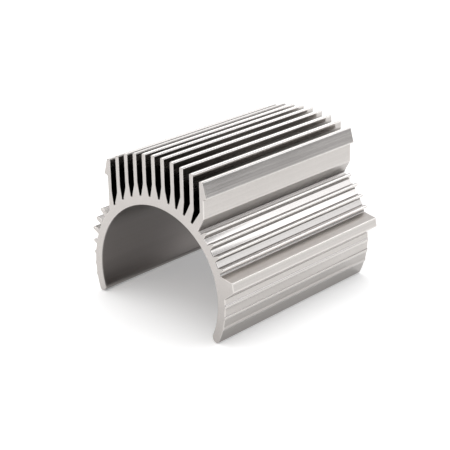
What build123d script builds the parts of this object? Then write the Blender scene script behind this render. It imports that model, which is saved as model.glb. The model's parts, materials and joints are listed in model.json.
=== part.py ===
# A motor heat sink: one length of extruded aluminium that clips round a motor can.
# Its section is an open ring with tall fins on the crown, short ribs on the shoulders,
# a ledge on the right shoulder only, and a right lip that is longer than the left.
# Millimetres and degrees. The origin is on the bore axis at mid-length, +Y runs along
# the bore with the front end at -Y, and +Z is up as the part stands on its two lips.
import os
from math import asin, atan2, cos, degrees, floor, hypot, radians, sin, sqrt, tan

from build123d import *

# The ring round the motor. Lip angles are counted down from the horizontal.
length = 51.0
motor_diameter = 36.0
wall = 2.05
left_lip_angle = 20.3
right_lip_angle = 28.8

# Tall fins, and the gaps between them, which narrow towards their floors
fin_count = 11
fin_pitch = 2.8
gap_width = 1.75
gap_floor_width = 0.6
gap_taper_height = 3.0
fin_top_round = 0.25
outer_foot_round = 0.6

# The gaps nearest the right-hand side have floors bent towards the bore axis
bent_gap_count = 3
bent_gap_step = 0.55

# The arc that the fin tops reach, a little right of the bore axis
tallest_fin_height = 9.6
crown_radius = 31.3
crown_offset = 0.6

# Barbs on the outer faces of the two outermost fins
barb_width = 1.0
barb_drop = 3.6
barb_step = 0.4

# Radial ribs and low ridges share one pitch, in places numbered upwards from zero,
# which is beside the bore axis
place_pitch = 7.75
place_zero_angle = -0.65
left_rib_places = range(1, 6)
right_rib_places = range(3, 7)
left_rib_height = 2.05
right_rib_height = 1.25
rib_side_reach = 0.3
rib_root_width = 1.15
rib_tip_width = 0.85

# The ridges run from place zero down towards each lip
ridge_width = 1.05
ridge_height = 0.2
plain_lip_angle = 10.0

# The ledge on the right shoulder
ledge_width = 2.55
ledge_nose_height = 2.1
ledge_nose_set_back = 0.4
ledge_top_angle = 19.2
ledge_top_slope = 13.0
ledge_foot_angle = 4.5
ledge_corner_round = 0.25

bore_radius = motor_diameter / 2
outer_radius = bore_radius + wall
mid_wall_radius = bore_radius + wall / 2
lip_outer_round = 0.3 * wall
lip_inner_round = 0.6 * wall
gap_floor_round = 0.4 * gap_floor_width
fin_thickness = fin_pitch - gap_width
fins_half_width = (fin_count * fin_pitch - gap_width) / 2
ridge_radius = (ridge_height**2 + (ridge_width / 2) ** 2) / (2 * ridge_height)


def ring_point(radius, angle):
    """A point at this radius, its angle counted up from the right-hand horizontal."""
    return Vector(radius * cos(radians(angle)), radius * sin(radians(angle)))


def ring_top(x):
    """The point on the outside of the ring straight above this place across it."""
    return Vector(x, sqrt(outer_radius**2 - x**2))


def on_ring(vertex):
    """Whether a corner of the section lies on the outside of the ring."""
    return abs(hypot(vertex.X, vertex.Y) - outer_radius) < 0.001


def fin_middle(fin):
    """Distance of a fin from the bore axis; fins are numbered 1 upwards from the left."""
    return (fin - (fin_count + 1) / 2) * fin_pitch


def fin_top(fin):
    """Height of a fin's flat top, on the arc over them all."""
    across = fin_middle(fin) - crown_offset
    drop = crown_radius - sqrt(crown_radius**2 - across**2)
    return outer_radius + tallest_fin_height - drop


def root_bend(gap):
    """How far a gap's floor is bent to the left; gap n is on the right of fin n."""
    straight_gap_count = fin_count - 1 - bent_gap_count
    return bent_gap_step * max(0, gap - straight_gap_count)


def gap_wall(gap, side):
    """Corners up the left (-1) or right (1) wall of a gap, starting inside the ring."""
    middle = fin_middle(gap) + fin_pitch / 2
    gap_floor = ring_top(middle - root_bend(gap))
    outward = gap_floor / outer_radius
    across = Vector(outward.Y, -outward.X) * side * gap_floor_width / 2
    return [
        outward * mid_wall_radius + across,
        outward * (outer_radius + gap_floor_width / 2) + across,
        Vector(middle + side * gap_width / 2, gap_floor.Y + gap_taper_height),
    ]


def outer_wall(fin, side):
    """Corners up the outer face of an outermost fin, from inside the ring to its barb."""
    bend = root_bend(fin - 1)
    foot = ring_top(side * (fins_half_width - bend))
    barb_tip_z = fin_top(fin) - barb_drop
    return [
        foot * mid_wall_radius / outer_radius,
        foot,
        Vector(side * fins_half_width, foot.Y + gap_taper_height),
        Vector(side * fins_half_width, barb_tip_z - barb_step),
        Vector(side * (fins_half_width + barb_width), barb_tip_z),
    ]


def fin_outline(fin):
    """Corners of one fin, up its left side and down its right side."""
    left = outer_wall(fin, -1) if fin == 1 else gap_wall(fin - 1, 1)
    right = outer_wall(fin, 1) if fin == fin_count else gap_wall(fin, -1)
    top_left = Vector(fin_middle(fin) - fin_thickness / 2, fin_top(fin))
    top_right = Vector(fin_middle(fin) + fin_thickness / 2, fin_top(fin))
    return left + [top_left, top_right] + right[::-1]


def place_angle(place, side):
    """Direction of a rib or ridge on the right (1) or the left (-1) of the ring."""
    angle = place_zero_angle + place * place_pitch
    return angle if side > 0 else 180 - angle


def rib_tip_radius(place, side):
    """Ribs reach a set height, but stand out only a little at the sides."""
    full_height = right_rib_height if side > 0 else left_rib_height
    side_limit = (outer_radius + rib_side_reach) / cos(radians(place_angle(place, 1)))
    return min(outer_radius + full_height, side_limit)


def ridge_places(lip_angle):
    """The places that carry a ridge, leaving the ring plain beside the lip."""
    count_below = floor((lip_angle - plain_lip_angle + place_zero_angle) / place_pitch)
    return range(-count_below, 1)


def lip_contact(lip_angle, side):
    """Centre of the rounded outer corner on which a lip stands."""
    centre_radius = outer_radius - lip_outer_round
    inset = degrees(asin(lip_outer_round / centre_radius))
    point = ring_point(centre_radius, inset - lip_angle)
    return Vector(side * point.X, point.Y)


# Standing on lips of unequal length turns the section a little to its left.
left_contact = lip_contact(left_lip_angle, -1)
right_contact = lip_contact(right_lip_angle, 1)
contact_drop = left_contact.Y - right_contact.Y
contact_span = right_contact.X - left_contact.X
lean = atan2(contact_drop, contact_span)
standing = Plane(origin=(0, 0, 0), x_dir=(cos(lean), 0, sin(lean)), z_dir=(0, -1, 0))

with BuildPart() as heat_sink:
    with BuildSketch(standing) as section:
        # The open ring, with rounded lips
        with BuildLine():
            lip_ends = (-right_lip_angle, 180 + left_lip_angle)
            for radius in (bore_radius, outer_radius):
                CenterArc((0, 0), radius, lip_ends[0], lip_ends[1] - lip_ends[0])
            for angle in lip_ends:
                Line(ring_point(bore_radius, angle), ring_point(outer_radius, angle))
        make_face()
        inner_corners = section.vertices().filter_by(lambda v: not on_ring(v))
        fillet(inner_corners, lip_inner_round)
        outer_corners = section.vertices().filter_by(on_ring)
        fillet(outer_corners, lip_outer_round)

        # The tall fins, with rounded roots and tops
        for fin in range(1, fin_count + 1):
            Polygon(*fin_outline(fin), align=None)
        fin_roots = section.vertices().filter_by(lambda v: v.Y > 0 and on_ring(v))
        roots_across = fin_roots.sort_by(Axis.X)
        outer_feet = [roots_across[0], roots_across[-1]]
        fillet(roots_across[1:-1], gap_floor_round)
        fillet(outer_feet, outer_foot_round)
        lowest_top = min(fin_top(1), fin_top(fin_count))
        fin_corners = section.vertices().filter_by(lambda v: v.Y > lowest_top - 0.001)
        fillet(fin_corners, fin_top_round)

        # The radial ribs, each with a round tip
        for side, places in ((-1, left_rib_places), (1, right_rib_places)):
            for place in places:
                tip_centre = rib_tip_radius(place, side) - rib_tip_width / 2
                with Locations(Rotation(0, 0, place_angle(place, side))):
                    Polygon(
                        (mid_wall_radius, -rib_root_width / 2),
                        (outer_radius, -rib_root_width / 2),
                        (tip_centre, -rib_tip_width / 2),
                        (tip_centre, rib_tip_width / 2),
                        (outer_radius, rib_root_width / 2),
                        (mid_wall_radius, rib_root_width / 2),
                        align=None,
                    )
                    with Locations((tip_centre, 0)):
                        Circle(rib_tip_width / 2)

        # The low ridges down both skirts
        for side, lip_angle in ((-1, left_lip_angle), (1, right_lip_angle)):
            for place in ridge_places(lip_angle):
                with Locations(Rotation(0, 0, place_angle(place, side))):
                    with Locations((outer_radius + ridge_height - ridge_radius, 0)):
                        Circle(ridge_radius)

        # The ledge, with an undercut nose
        ledge_top = ring_point(outer_radius, ledge_top_angle)
        nose_top_x = outer_radius + ledge_width - ledge_nose_set_back
        nose_fall = (nose_top_x - ledge_top.X) * tan(radians(ledge_top_slope))
        nose_top_z = ledge_top.Y - nose_fall
        Polygon(
            ring_point(mid_wall_radius, ledge_top_angle),
            ledge_top,
            (nose_top_x, nose_top_z),
            (outer_radius + ledge_width, nose_top_z - ledge_nose_height),
            ring_point(outer_radius, ledge_foot_angle),
            ring_point(mid_wall_radius, ledge_foot_angle),
            align=None,
        )
        nose_corners = section.vertices().filter_by(lambda v: v.X > nose_top_x - 0.001)
        fillet(nose_corners, ledge_corner_round)

        # The bore stays clear of everything that grows from the ring
        Circle(bore_radius, mode=Mode.SUBTRACT)
    extrude(amount=length / 2, both=True)

heat_sink.part.label = "heat_sink"
os.makedirs("parts", exist_ok=True)
export_step(heat_sink.part, "parts/heat_sink.step")
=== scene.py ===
# Looks for the motor heat sink: one piece of satin extruded aluminium on a white table.
# Metres, in the row frame: +Y runs along the bore, away from the end that the photograph
# shows, and +Z is up as the part stands on its two lips.
import json
from math import cos, pi, radians, sin, tan

import bpy
import numpy as np
from mathutils import Matrix, Vector
from mathutils.geometry import tessellate_polygon


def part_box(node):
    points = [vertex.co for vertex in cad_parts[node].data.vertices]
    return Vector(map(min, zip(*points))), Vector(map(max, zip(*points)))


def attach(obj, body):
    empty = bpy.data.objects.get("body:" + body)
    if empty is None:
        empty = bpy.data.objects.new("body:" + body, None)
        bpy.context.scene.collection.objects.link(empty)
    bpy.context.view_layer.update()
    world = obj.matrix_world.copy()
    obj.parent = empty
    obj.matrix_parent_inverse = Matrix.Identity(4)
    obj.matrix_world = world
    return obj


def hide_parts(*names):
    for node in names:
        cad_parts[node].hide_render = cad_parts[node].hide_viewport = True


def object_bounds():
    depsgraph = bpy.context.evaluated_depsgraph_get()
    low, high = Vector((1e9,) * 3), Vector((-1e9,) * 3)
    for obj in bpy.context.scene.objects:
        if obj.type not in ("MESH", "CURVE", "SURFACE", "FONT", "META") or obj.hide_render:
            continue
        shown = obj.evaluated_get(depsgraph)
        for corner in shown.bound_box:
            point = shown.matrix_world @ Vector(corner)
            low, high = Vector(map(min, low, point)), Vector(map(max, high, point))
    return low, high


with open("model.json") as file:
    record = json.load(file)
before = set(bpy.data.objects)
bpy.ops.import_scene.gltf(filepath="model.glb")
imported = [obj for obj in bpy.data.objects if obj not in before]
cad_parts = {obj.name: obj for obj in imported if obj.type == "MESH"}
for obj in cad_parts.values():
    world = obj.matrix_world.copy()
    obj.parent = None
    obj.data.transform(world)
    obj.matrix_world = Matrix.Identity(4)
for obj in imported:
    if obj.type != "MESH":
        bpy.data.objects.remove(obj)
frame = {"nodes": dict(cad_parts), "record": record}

MM = 0.001
cad_lowest, cad_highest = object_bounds()

# Camera, fitted to the photograph
CAMERA_PLACE = (0.18454, -0.21448, 0.12997)
CAMERA_AZIMUTH = 41.189
CAMERA_ELEVATION = 23.618
CAMERA_ROLL = 2.108
LENS = 106.07
SENSOR_WIDTH = 36.0
CLIP_DISTANCES = (0.01, 20.0)

# Studio light. Each lamp: name, azimuth from +Y towards +X, elevation, degrees across,
# degrees high, radiance, tint
PANEL_DISTANCE = 0.9
COOL = (0.96, 0.975, 1.0)
PLAIN = (1.0, 1.0, 1.0)
WARM = (1.0, 0.965, 0.945)
LAMPS = (
    ("top_panel", 0, 88, 70, 70, 1.70, PLAIN),
    ("back_right_floor", 45, 5, 60, 8, 0.37, COOL),
    ("back_right_low", 50, 16, 30, 12, 1.65, COOL),
    ("back_right_main", 20, 31, 34, 18, 2.05, COOL),
    ("back_right_side", 52, 31, 34, 18, 0.78, COOL),
    ("back_right_high", 12, 49, 56, 20, 0.72, COOL),
    ("back_left_low", -41, 16, 28, 12, 2.25, PLAIN),
    ("back_left_high", -30, 34, 30, 20, 0.62, PLAIN),
    ("front_high", 180, 45, 60, 20, 1.85, WARM),
    ("left_low", -90, 20, 60, 30, 0.60, PLAIN),
    ("left_high", -90, 52, 60, 30, 1.4, PLAIN),
)

# The room is dim. Where mirrored, its backdrop is white up to the first of these sines of
# the elevation, and fades out by the second.
ROOM_LIGHT = 0.01
BACKDROP_TOP = (0.05, 0.12)

# The table shows a glow as well as its paint, stronger where the lamps don't reach: from
# the first of these distances to the second
TABLE_HALF = 4.0
TABLE_PAINT = (0.94, 0.94, 0.94, 1)
TABLE_GLOW = 0.25
TABLE_GLOW_FAR = 1.0
LAMPLIGHT_ENDS = (0.35, 0.9)
WHITE = (1, 1, 1, 1)

# Rounding that a real extrusion has: along its corners, which are sharper than this turn,
# and round its cut ends, beside which the metal gets a painted highlight
CORNER_REACH = 0.16 * MM
CORNER_TURN = 22.0
CORNER_POINTS = 6
CORNER_SHARE = 0.45
CUT_EDGE = 0.11 * MM
CUT_EDGE_STEPS = 3
RIM_FADE = 0.4 * MM

# The outline: how it is read from the CAD's end face, and its longest and shortest steps
END_DEPTH = 0.001 * MM
POINT_DIGITS = 4
LONGEST_STEP = 0.35 * MM
SHORTEST_STEP = 0.0005 * MM

# A gap is open where nothing lies before it within this distance, in these directions
SIGHT = 30 * MM
SIGHT_START = 0.01 * MM
SIGHT_ANGLES = (-80, 80, 17)
PARALLEL = 1e-15

# Edges and roots, found by how sharply the outline bends, in radians per millimetre
EDGE_WIDTH = 0.22 * MM
EDGE_BEND = 2.2
ROOT_WIDTH = 0.08 * MM
ROOT_BENDS = (2.0, 3.5)

# The bore's wall, and the height over the table up to which the skirts get painted shade
BORE_RADIUS = frame["record"]["mounts"][0]["dims"]["r_mm"] * MM
BORE_WALL = 0.3 * MM
BORE_FADE = 0.25 * MM
LOW_HEIGHT = 8 * MM

# The ledge's top is all that lies further right than this, lower than this, facing up
LEDGE_START = (18.2 * MM, 8.2 * MM)
LEDGE_FACES_UP = 0.7

# The four fins left of this get painted shade on their tops, and only right of it do the
# edges get painted highlights
HIGHLIGHTED_FROM = -6.3 * MM
LEFT_TOPS_FROM = 24.0 * MM
LEFT_TOPS_FACE_UP = 0.15

# The last fin's foot is all that faces down to the right, further out than this
FOOT_START = (11.5 * MM, 16.2 * MM)
FOOT_FACES = (0.8, -0.25)
FOOT_FADE = 0.3 * MM

# Marks in the metal: how wide each kind is across, along and up
FINE_LINES = (0.28 * MM, 60 * MM, 0.28 * MM)
BANDS = (1.1 * MM, 120 * MM, 1.1 * MM)
CLOUDS = (7 * MM, 16 * MM, 7 * MM)
GRAIN = (0.24 * MM, 0.36 * MM, 0.24 * MM)
CUT_MARKS = (3.0 * MM, 1.0 * MM, 0.12 * MM)
CUT_CLOUDS = (4 * MM, 4 * MM, 4 * MM)
CUT_GRAIN = (0.10 * MM, 0.10 * MM, 0.10 * MM)

# Almost all of a noise lies in this range
NOISE_RANGE = (0.3, 0.7)

# Each metal from its darkest tone to its lightest, and how far the marks shift it
EXTRUDED_TONES = ((0.445, 0.423, 0.405, 1), (0.515, 0.491, 0.472, 1))
CUT_TONES = ((0.465, 0.44, 0.422, 1), (0.518, 0.492, 0.474, 1))
FINE_TONE = 0.4
CLOUD_TONE = 0.25
GRAIN_TONE = 0.5
CUT_CLOUD_TONE = 0.4

# Painted shade and light on the extruded metal, under the gaps' painted shade and over it:
# the mask, how far the tint goes where the mask is full, and the tint. Low on the skirts,
# in the bore and on the left fin tops it is painted shade; on the ledge's top, painted light.
LOW_PAINTED_SHADE = ("low", 0.48, (0.07, 0.062, 0.057, 1))
PAINTED_LIGHT_TINTS = (
    ("bore", 0.76, (0.15, 0.135, 0.13, 1)),
    ("ledge", 0.35, (0.86, 0.80, 0.76, 1)),
    ("left_top", 0.42, (0.13, 0.12, 0.115, 1)),
)

# Painted shade darkens the metal deep in the gaps, by how open it is, and in the roots.
# The openness from and to, and the value at each, here and in the ranges of roughness.
GAP_PAINTED_SHADE = (0.085, 0.072, 0.066, 1)
UNSHADED_BY_OPENNESS = (0.08, 0.19, 0.2, 1.0)
ROOT_PAINTED_SHADE = 0.75

# Painted highlights on the edges and round the cut ends
PAINTED_HIGHLIGHT = (0.86, 0.83, 0.80, 1)
EDGE_PAINTED_HIGHLIGHT = 0.45
RIM_PAINTED_HIGHLIGHT = 0.4

# Roughness: over the fine lines, what the clouds add, and what the masks add. The walls of
# the gaps are rougher a little way down, and more so towards the back.
EXTRUDED_ROUGH = (0.10, 0.15)
CUT_ROUGH = (0.18, 0.26)
CLOUD_ROUGH = 0.04
ADDED_ROUGH = (("bore", 0.20), ("ledge", 0.22), ("foot", 0.35))
GAP_ROUGH_DEEP = (0.10, 0.20, 0.08, 0.5)
GAP_ROUGH_SHALLOW = (0.32, 0.50, 0.5, 0.0)
GAP_ROUGH_BACKWARD = (-25 * MM, 0.0, 0.3, 1.2)

# Bump: how high each kind of mark stands beside the first kind, and the strength and depth
BAND_HEIGHT = 1.6
GRAIN_HEIGHT = 0.12
EXTRUDED_BUMP = (0.5, 0.0045 * MM)
CUT_GRAIN_HEIGHT = 0.4
CUT_BUMP = (0.4, 0.008 * MM)


# Shape


def front_outline(mesh):
    """The section's outline on the front end, as points (x, z) in order round it."""
    places = [v.co for v in mesh.vertices]
    front = min(p.y for p in places)
    point = {}
    steps = set()
    for face in mesh.polygons:
        if any(places[i].y > front + END_DEPTH for i in face.vertices):
            continue
        keys = []
        for i in face.vertices:
            x, _, z = places[i]
            key = (round(x / MM, POINT_DIGITS), round(z / MM, POINT_DIGITS))
            point[key] = (x, z)
            keys.append(key)
        # A step between two faces of the end comes up both ways, and drops out
        for step in zip(keys, keys[1:] + keys[:1]):
            if step[::-1] in steps:
                steps.remove(step[::-1])
            else:
                steps.add(step)
    following = dict(steps)
    key = first = min(following)
    loop = []
    while True:
        loop.append(point[key])
        key = following[key]
        if key == first:
            break
    return np.array(loop)


def edges_of(outline):
    """Each point's step to the next one, its length and its unit outward normal."""
    step = np.roll(outline, -1, axis=0) - outline
    size = np.hypot(step[:, 0], step[:, 1])
    outward = np.stack([step[:, 1], -step[:, 0]], axis=1) / size[:, None]
    return step, size, outward


def turns_of(outline):
    """How far the outline turns at each point, in degrees, positive where it is convex."""
    step, _, _ = edges_of(outline)
    before = np.roll(step, 1, axis=0)
    cross = before[:, 0] * step[:, 1] - before[:, 1] * step[:, 0]
    dot = (before * step).sum(axis=1)
    return np.degrees(np.arctan2(cross, dot))


def point_along(outline, run, place):
    """The point at this distance round the closed outline."""
    place = place % run[-1]
    i = int(np.searchsorted(run, place, side="right")) - 1
    i = min(i, len(outline) - 1)
    share = (place - run[i]) / (run[i + 1] - run[i])
    return outline[i] * (1 - share) + outline[(i + 1) % len(outline)] * share


def softened(outline, reach, sharp):
    """The outline with each corner sharper than this rounded, from reach before to after."""
    _, size, _ = edges_of(outline)
    run = np.concatenate([[0], np.cumsum(size)])
    whole = run[-1]
    corners = np.nonzero(abs(turns_of(outline)) > sharp)[0]
    at = run[corners]
    apart = (np.roll(at, -1) - at) % whole
    room = CORNER_SHARE * np.minimum(apart, np.roll(apart, 1))
    reaches = dict(zip(corners.tolist(), np.minimum(reach, room).tolist()))
    made = []
    for i, point in enumerate(outline):
        place = run[i]
        if i in reaches:
            start = point_along(outline, run, place - reaches[i])
            end = point_along(outline, run, place + reaches[i])
            for t in np.linspace(0, 1, CORNER_POINTS):
                made.append((1 - t) ** 2 * start + 2 * t * (1 - t) * point + t**2 * end)
            continue
        # Only points clear of every rounding stay
        gaps = [abs((place - run[c] + whole / 2) % whole - whole / 2) for c in reaches]
        if all(g > d * 1.001 for g, d in zip(gaps, reaches.values())):
            made.append(point)
    made = np.array(made)
    _, size, _ = edges_of(made)
    return made[size > SHORTEST_STEP]


def divided(outline, longest):
    """The outline with its long steps divided, so that the masks follow it closely."""
    made = []
    for point, following in zip(outline, np.roll(outline, -1, axis=0)):
        count = int(np.ceil(np.hypot(*(following - point)) / longest))
        made += [point + (following - point) * k / count for k in range(count)]
    return np.array(made)


def openness(outline):
    """How much of the space before each point is open, from 0 deep in a gap to 1."""
    step, _, outward = edges_of(outline)
    normal = outward + np.roll(outward, 1, axis=0)
    normal /= np.hypot(normal[:, 0], normal[:, 1])[:, None]
    start = outline + normal * SIGHT_START
    apart = outline[None] - start[:, None]
    open_share = np.zeros(len(outline))
    weights = 0.0
    for angle in np.radians(np.linspace(*SIGHT_ANGLES)):
        ray = np.stack(
            [
                normal[:, 0] * cos(angle) - normal[:, 1] * sin(angle),
                normal[:, 0] * sin(angle) + normal[:, 1] * cos(angle),
            ],
            axis=1,
        )
        # Where each ray meets each step: how far out, and how far along the step
        under = ray[:, None, 0] * step[None, :, 1] - ray[:, None, 1] * step[None, :, 0]
        under = np.where(abs(under) < PARALLEL, PARALLEL, under)
        far = (apart[..., 0] * step[None, :, 1] - apart[..., 1] * step[None, :, 0]) / under
        along = (apart[..., 0] * ray[:, None, 1] - apart[..., 1] * ray[:, None, 0]) / under
        met = (far > 0) & (along >= 0) & (along <= 1)
        nearest = np.where(met, far, np.inf).min(axis=1)
        weights += cos(angle)
        open_share += cos(angle) * np.clip(nearest / SIGHT, 0, 1)
    return open_share / weights


def smoothed(values, outline, width):
    """Values along the closed outline, averaged over about this width."""
    _, size, _ = edges_of(outline)
    run = np.concatenate([[0], np.cumsum(size)[:-1]])
    whole = size.sum()
    share = (size + np.roll(size, 1)) / 2
    gap = abs((run[:, None] - run[None] + whole / 2) % whole - whole / 2)
    weight = np.exp(-((gap / width) ** 2)) * share[None]
    return (weight * values[None]).sum(axis=1) / weight.sum(axis=1)


def finish_masks(outline, table_height):
    """Where each finish, painted shade and highlight shows, 0 to 1 at each outline point."""
    x, z = outline[:, 0], outline[:, 1]
    _, size, outward = edges_of(outline)
    share = (size + np.roll(size, 1)) / 2 / MM
    bend = np.radians(turns_of(outline)) / share
    edge = np.clip(smoothed(bend, outline, EDGE_WIDTH) / EDGE_BEND, 0, 1)
    root = -smoothed(bend, outline, ROOT_WIDTH) - ROOT_BENDS[0]
    root = np.clip(root / (ROOT_BENDS[1] - ROOT_BENDS[0]), 0, 1)
    ledge = (x > LEDGE_START[0]) & (z < LEDGE_START[1]) & (outward[:, 1] > LEDGE_FACES_UP)
    # The left fin tops, which get painted shade
    left_top = (x < HIGHLIGHTED_FROM) & (z > LEFT_TOPS_FROM)
    left_top = left_top & (outward[:, 1] > LEFT_TOPS_FACE_UP)
    foot = (x > FOOT_START[0]) & (z > FOOT_START[1])
    foot = foot & (outward[:, 0] > FOOT_FACES[0]) & (outward[:, 1] < FOOT_FACES[1])
    return {
        "ledge": ledge.astype(float),
        "left_top": left_top.astype(float),
        "foot": smoothed(foot.astype(float), outline, FOOT_FADE),
        "edge": edge * (x > HIGHLIGHTED_FROM),
        "root": root,
        "open": openness(outline),
        "bore": np.clip((BORE_RADIUS + BORE_WALL - np.hypot(x, z)) / BORE_FADE, 0, 1),
        "low": np.clip(1 - (z - table_height) / LOW_HEIGHT, 0, 1),
    }


def ring_places(front, back):
    """The rings of points from front to back, with a small rounding at both cut ends.

    Each is its inset, its place along the bore, how much of its normals lies along the
    bore and across it, and how much painted highlight lies on it.
    """
    rings = []
    for end, inward in ((front, 1), (back, -1)):
        ring_set = []
        for k in range(CUT_EDGE_STEPS + 1):
            tilt = pi / 2 * k / CUT_EDGE_STEPS
            inset = CUT_EDGE * (1 - sin(tilt))
            depth = CUT_EDGE * (1 - cos(tilt))
            ring_set.append((inset, end + inward * depth, -inward * cos(tilt), sin(tilt), 1.0))
        ring_set.append((0.0, end + inward * RIM_FADE, 0.0, 1.0, 0.0))
        rings += ring_set if inward > 0 else ring_set[::-1]
    return rings


def extruded_mesh(outline, front, back):
    """The section run from front to back: the mesh, its normals and its side face count."""
    _, size, outward = edges_of(outline)
    before = np.roll(outward, 1, axis=0)
    smooth = outward * size[:, None] + before * np.roll(size, 1)[:, None]
    smooth /= np.hypot(smooth[:, 0], smooth[:, 1])[:, None]
    corner = outward + before
    corner /= (corner * outward).sum(axis=1)[:, None]

    count = len(outline)
    rings = ring_places(front, back)
    places = []
    ring_normals = []
    rim = []
    for inset, y, end_share, side_share, rim_highlight in rings:
        places += [(x, y, z) for x, z in outline - corner * inset]
        ring_normals += [(x * side_share, end_share, z * side_share) for x, z in smooth]
        rim += [rim_highlight] * count
    faces = []
    for k in range(len(rings) - 1):
        here, there = k * count, (k + 1) * count
        for i in range(count):
            j = (i + 1) % count
            faces.append((here + i, here + j, there + j, there + i))
    side_count = len(faces)
    last = (len(rings) - 1) * count
    flat = [Vector((x, z, 0)) for x, _, z in places[:count]]
    for a, b, c in tessellate_polygon([flat]):
        faces.append((a, b, c))
        faces.append((last + c, last + b, last + a))

    mesh = bpy.data.meshes.new("heat_sink_body")
    mesh.from_pydata(places, [], faces)
    mesh.update()
    attribute = mesh.attributes.new("rim", "FLOAT", "POINT")
    attribute.data.foreach_set("value", rim)
    return mesh, ring_normals, side_count


def finished_piece(node, name):
    """A finer copy of the extruded CAD node, with rounded corners and broken cut edges."""
    low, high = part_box(node)
    outline = softened(front_outline(frame["nodes"][node].data), CORNER_REACH, CORNER_TURN)
    outline = divided(outline, LONGEST_STEP)
    count = len(outline)
    mesh, ring_normals, side_count = extruded_mesh(outline, low.y, high.y)

    # Faces all point outwards
    first = mesh.polygons[0]
    if first.normal.dot(Vector(ring_normals[first.vertices[0]])) < 0:
        mesh.flip_normals()
    normals = []
    for face in mesh.polygons:
        if face.index < side_count:
            normals += [ring_normals[i] for i in face.vertices]
        else:
            y = -1.0 if face.vertices[0] < count else 1.0
            if face.normal.y * y < 0:
                face.flip()
            normals += [(0.0, y, 0.0)] * 3
    mesh.update()
    mesh.normals_split_custom_set(normals)

    # The masks are the same all along the length
    ring_count = len(mesh.vertices) // count
    for mask, values in finish_masks(outline, low.z).items():
        attribute = mesh.attributes.new(mask, "FLOAT", "POINT")
        attribute.data.foreach_set("value", np.tile(values, ring_count).astype(np.float32))

    made = bpy.data.objects.new(name, mesh)
    bpy.context.scene.collection.objects.link(made)
    return made, side_count


# Materials


class Nodes:
    """Short calls to build the node tree of a material or a world."""

    def __init__(self, owner):
        owner.use_nodes = True
        self.owner = owner
        self.tree = owner.node_tree
        self.tree.nodes.clear()

    def add(self, kind, inputs=None, **settings):
        node = self.tree.nodes.new(kind)
        for key, value in settings.items():
            setattr(node, key, value)
        for key, value in (inputs or {}).items():
            if isinstance(value, bpy.types.NodeSocket):
                self.tree.links.new(value, node.inputs[key])
            else:
                node.inputs[key].default_value = value
        return node

    def math(self, operation, a, b, c=0.0, clamp=False):
        node = self.add("ShaderNodeMath", {0: a, 1: b, 2: c}, operation=operation)
        node.use_clamp = clamp
        return node.outputs[0]

    def ranged(self, value, low, high, to_low, to_high):
        """The value's range from low to high, carried to another range and held there."""
        inputs = {0: value, 1: low, 2: high, 3: to_low, 4: to_high}
        return self.add("ShaderNodeMapRange", inputs).outputs[0]

    def mixed(self, share, a, b):
        """This share of the way from colour a to colour b, which are sockets 6 and 7."""
        node = self.add("ShaderNodeMix", {0: share, 6: a, 7: b}, data_type="RGBA")
        return node.outputs[2]

    def noise(self, widths, detail, offset=(0, 0, 0)):
        """Noise whose marks are about this wide along each axis, in metres."""
        coordinates = self.add("ShaderNodeTexCoord").outputs["Object"]
        scale = tuple(1 / w for w in widths)
        mapped = self.add(
            "ShaderNodeMapping", {"Vector": coordinates, "Scale": scale, "Location": offset}
        )
        node = self.add(
            "ShaderNodeTexNoise",
            {"Vector": mapped.outputs[0], "Scale": 1.0, "Detail": detail},
        )
        return node.outputs[0]

    def spread(self, noise, to_low=-0.5, to_high=0.5):
        """A noise stretched over this range, or round zero."""
        return self.ranged(noise, *NOISE_RANGE, to_low, to_high)

    def mask(self, name):
        return self.add("ShaderNodeAttribute", attribute_name=name).outputs["Fac"]

    def tinted(self, colour, mask, share, tint):
        """The colour taken this far towards a tint where the mask is full."""
        return self.mixed(self.math("MULTIPLY", self.mask(mask), share), colour, tint)

    def metal(self, colour, rough, height, strength, depth):
        """A bare metal surface with this bump, joined to the material's output."""
        bump = self.add(
            "ShaderNodeBump", {"Strength": strength, "Distance": depth, "Height": height}
        )
        shader = self.add(
            "ShaderNodeBsdfPrincipled",
            {
                "Base Color": colour,
                "Metallic": 1.0,
                "Roughness": rough,
                "Normal": bump.outputs[0],
            },
        )
        self.add("ShaderNodeOutputMaterial", {"Surface": shader.outputs[0]})


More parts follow.
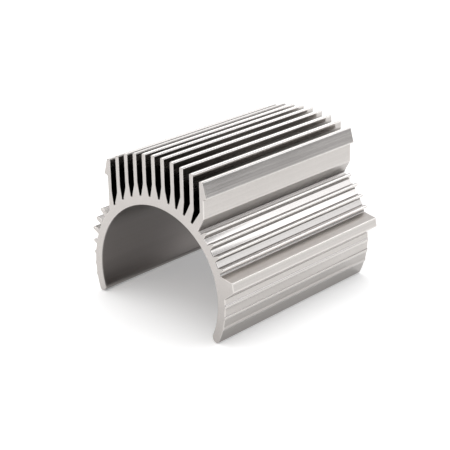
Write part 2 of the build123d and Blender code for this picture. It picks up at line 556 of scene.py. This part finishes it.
def extruded_metal():
    """Satin metal from the die, lines and faint bands along it, with painted shade and
    highlights.
    """
    n = Nodes(bpy.data.materials.new("extruded_aluminium"))
    fine = n.noise(FINE_LINES, 1.0)
    band = n.noise(BANDS, 1.0, offset=(3, 0, 7))
    cloud = n.noise(CLOUDS, 3.0, offset=(11, 5, 2))
    grain = n.noise(GRAIN, 1.0)

    tone = n.spread(band, *NOISE_RANGE)
    for noise, share in ((fine, FINE_TONE), (cloud, CLOUD_TONE), (grain, GRAIN_TONE)):
        tone = n.math("MULTIPLY_ADD", n.spread(noise), share, tone)
    # Painted shade, darker low on the skirts, under the gaps' painted shade
    colour = n.tinted(n.mixed(tone, *EXTRUDED_TONES), *LOW_PAINTED_SHADE)
    # Painted shade deep in the gaps and in the corner roots
    unshaded = n.ranged(n.mask("open"), *UNSHADED_BY_OPENNESS)
    root_shade = n.math("MULTIPLY", n.mask("root"), ROOT_PAINTED_SHADE)
    colour = n.mixed(n.math("SUBTRACT", unshaded, root_shade, clamp=True), GAP_PAINTED_SHADE, colour)
    # Painted shade in the bore and on the left fin tops, and painted light on the ledge's top
    for tint in PAINTED_LIGHT_TINTS:
        colour = n.tinted(colour, *tint)
    # Painted highlights on the edges and beside the cut ends
    edge = n.math("MULTIPLY", n.mask("edge"), EDGE_PAINTED_HIGHLIGHT)
    rim = n.math("MULTIPLY", n.mask("rim"), RIM_PAINTED_HIGHLIGHT)
    colour = n.mixed(n.math("MAXIMUM", edge, rim), colour, PAINTED_HIGHLIGHT)

    deep = n.ranged(n.mask("open"), *GAP_ROUGH_DEEP)
    shallow = n.ranged(n.mask("open"), *GAP_ROUGH_SHALLOW)
    position = n.add("ShaderNodeTexCoord").outputs["Object"]
    along = n.add("ShaderNodeSeparateXYZ", {0: position}).outputs["Y"]
    backward = n.ranged(along, *GAP_ROUGH_BACKWARD)
    dusty = n.math("MULTIPLY", n.math("MINIMUM", deep, shallow), backward)
    rough = n.spread(fine, *EXTRUDED_ROUGH)
    rough = n.math("MULTIPLY_ADD", n.spread(cloud), CLOUD_ROUGH, rough)
    rough = n.math("ADD", rough, dusty)
    for mask, more in ADDED_ROUGH:
        rough = n.math("MULTIPLY_ADD", n.mask(mask), more, rough)

    height = n.math("MULTIPLY_ADD", band, BAND_HEIGHT, fine)
    height = n.math("MULTIPLY_ADD", grain, GRAIN_HEIGHT, height)
    n.metal(colour, rough, height, *EXTRUDED_BUMP)
    return n.owner


def cut_metal():
    """The two cut ends: a flatter, lighter finish with short marks across it."""
    n = Nodes(bpy.data.materials.new("cut_aluminium"))
    marks = n.noise(CUT_MARKS, 2.0)
    cloud = n.noise(CUT_CLOUDS, 3.0, offset=(2, 9, 4))
    grain = n.noise(CUT_GRAIN, 1.0)
    tone = n.spread(marks, *NOISE_RANGE)
    tone = n.math("MULTIPLY_ADD", n.spread(cloud), CUT_CLOUD_TONE, tone)
    colour = n.mixed(tone, *CUT_TONES)
    height = n.math("MULTIPLY_ADD", grain, CUT_GRAIN_HEIGHT, marks)
    n.metal(colour, n.spread(marks, *CUT_ROUGH), height, *CUT_BUMP)
    return n.owner


heat_sink, side_count = finished_piece("heat_sink", "heat_sink_finished")
heat_sink.data.materials.append(extruded_metal())
heat_sink.data.materials.append(cut_metal())
for face in heat_sink.data.polygons:
    if face.index >= side_count:
        face.material_index = 1
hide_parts("heat_sink")
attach(heat_sink, "root")


# Table and light


def table():
    """A plain white table that keeps the shadow, and stays white far from the lamps."""
    half, z = TABLE_HALF, cad_lowest.z
    mesh = bpy.data.meshes.new("table")
    corners = [(-half, -half, z), (half, -half, z), (half, half, z), (-half, half, z)]
    mesh.from_pydata(corners, [], [(0, 1, 2, 3)])
    n = Nodes(bpy.data.materials.new("white_table"))
    seen = n.add("ShaderNodeLightPath").outputs
    shows = n.math("MAXIMUM", seen["Is Camera Ray"], seen["Is Glossy Ray"])
    shows = n.math("MAXIMUM", shows, seen["Is Transmission Ray"])
    paint = n.add("ShaderNodeBsdfDiffuse", {"Color": TABLE_PAINT})
    place = n.add("ShaderNodeTexCoord").outputs["Object"]
    away = n.add("ShaderNodeVectorMath", {0: place}, operation="LENGTH").outputs["Value"]
    strength = n.ranged(away, *LAMPLIGHT_ENDS, TABLE_GLOW, TABLE_GLOW_FAR)
    glow = n.add(
        "ShaderNodeEmission",
        {"Color": WHITE, "Strength": n.math("MULTIPLY", shows, strength)},
    )
    both = n.add("ShaderNodeAddShader", {0: paint.outputs[0], 1: glow.outputs[0]})
    n.add("ShaderNodeOutputMaterial", {"Surface": both.outputs[0]})
    mesh.materials.append(n.owner)
    made = bpy.data.objects.new("table", mesh)
    bpy.context.scene.collection.objects.link(made)
    return made


def toward(azimuth, elevation):
    """The direction at this azimuth, from +Y towards +X, and this height over the horizon."""
    a, e = radians(azimuth), radians(elevation)
    return Vector((sin(a) * cos(e), cos(a) * cos(e), sin(e)))


def panel(name, azimuth, elevation, across, high, radiance, tint):
    """A soft panel lamp that covers this much of the sky, in degrees, at this radiance."""
    width = 2 * PANEL_DISTANCE * tan(radians(across / 2))
    height = 2 * PANEL_DISTANCE * tan(radians(high / 2))
    data = bpy.data.lights.new(name, "AREA")
    data.shape = "RECTANGLE"
    data.size, data.size_y = width, height
    data.energy = radiance * pi * width * height
    data.color = tint
    made = bpy.data.objects.new(name, data)
    outward = toward(azimuth, elevation)
    made.location = outward * PANEL_DISTANCE
    made.rotation_euler = outward.to_track_quat("Z", "Y").to_euler()
    made.visible_camera = False
    bpy.context.scene.collection.objects.link(made)


def room():
    """A dim room with a white backdrop low down, and plain white where it is seen."""
    world = bpy.data.worlds.new("room")
    bpy.context.scene.world = world
    n = Nodes(world)
    direction = n.add("ShaderNodeTexCoord").outputs["Generated"]
    rise = n.add("ShaderNodeSeparateXYZ", {0: direction}).outputs["Z"]
    backdrop = n.ranged(rise, *BACKDROP_TOP, 1.0, 0.0)
    seen = n.add("ShaderNodeLightPath").outputs
    mirrored = n.math("MAXIMUM", seen["Is Glossy Ray"], seen["Is Transmission Ray"])
    shows = n.math("MULTIPLY_ADD", mirrored, backdrop, seen["Is Camera Ray"], clamp=True)
    strength = n.ranged(shows, 0.0, 1.0, ROOM_LIGHT, 1.0)
    light = n.add("ShaderNodeBackground", {"Color": WHITE, "Strength": strength})
    n.add("ShaderNodeOutputWorld", {"Surface": light.outputs[0]})


table()
room()
for lamp in LAMPS:
    panel(*lamp)


# Camera


def camera():
    """The camera at the photograph's viewpoint, looking along the fitted directions."""
    azimuth, elevation, roll = map(radians, (CAMERA_AZIMUTH, CAMERA_ELEVATION, CAMERA_ROLL))
    flat = cos(elevation)
    back = Vector((sin(azimuth) * flat, -cos(azimuth) * flat, sin(elevation)))
    level = Vector((0, 0, 1)).cross(back).normalized()
    right = level * cos(roll) + back.cross(level) * sin(roll)
    up = back.cross(right)
    turned = Matrix((right, up, back)).transposed().to_4x4()
    data = bpy.data.cameras.new("camera")
    data.sensor_width = SENSOR_WIDTH
    data.lens = LENS
    data.clip_start, data.clip_end = CLIP_DISTANCES
    made = bpy.data.objects.new("camera", data)
    made.matrix_world = Matrix.Translation(CAMERA_PLACE) @ turned
    bpy.context.scene.collection.objects.link(made)
    bpy.context.scene.camera = made


camera()
bpy.context.scene.view_settings.view_transform = "Standard"
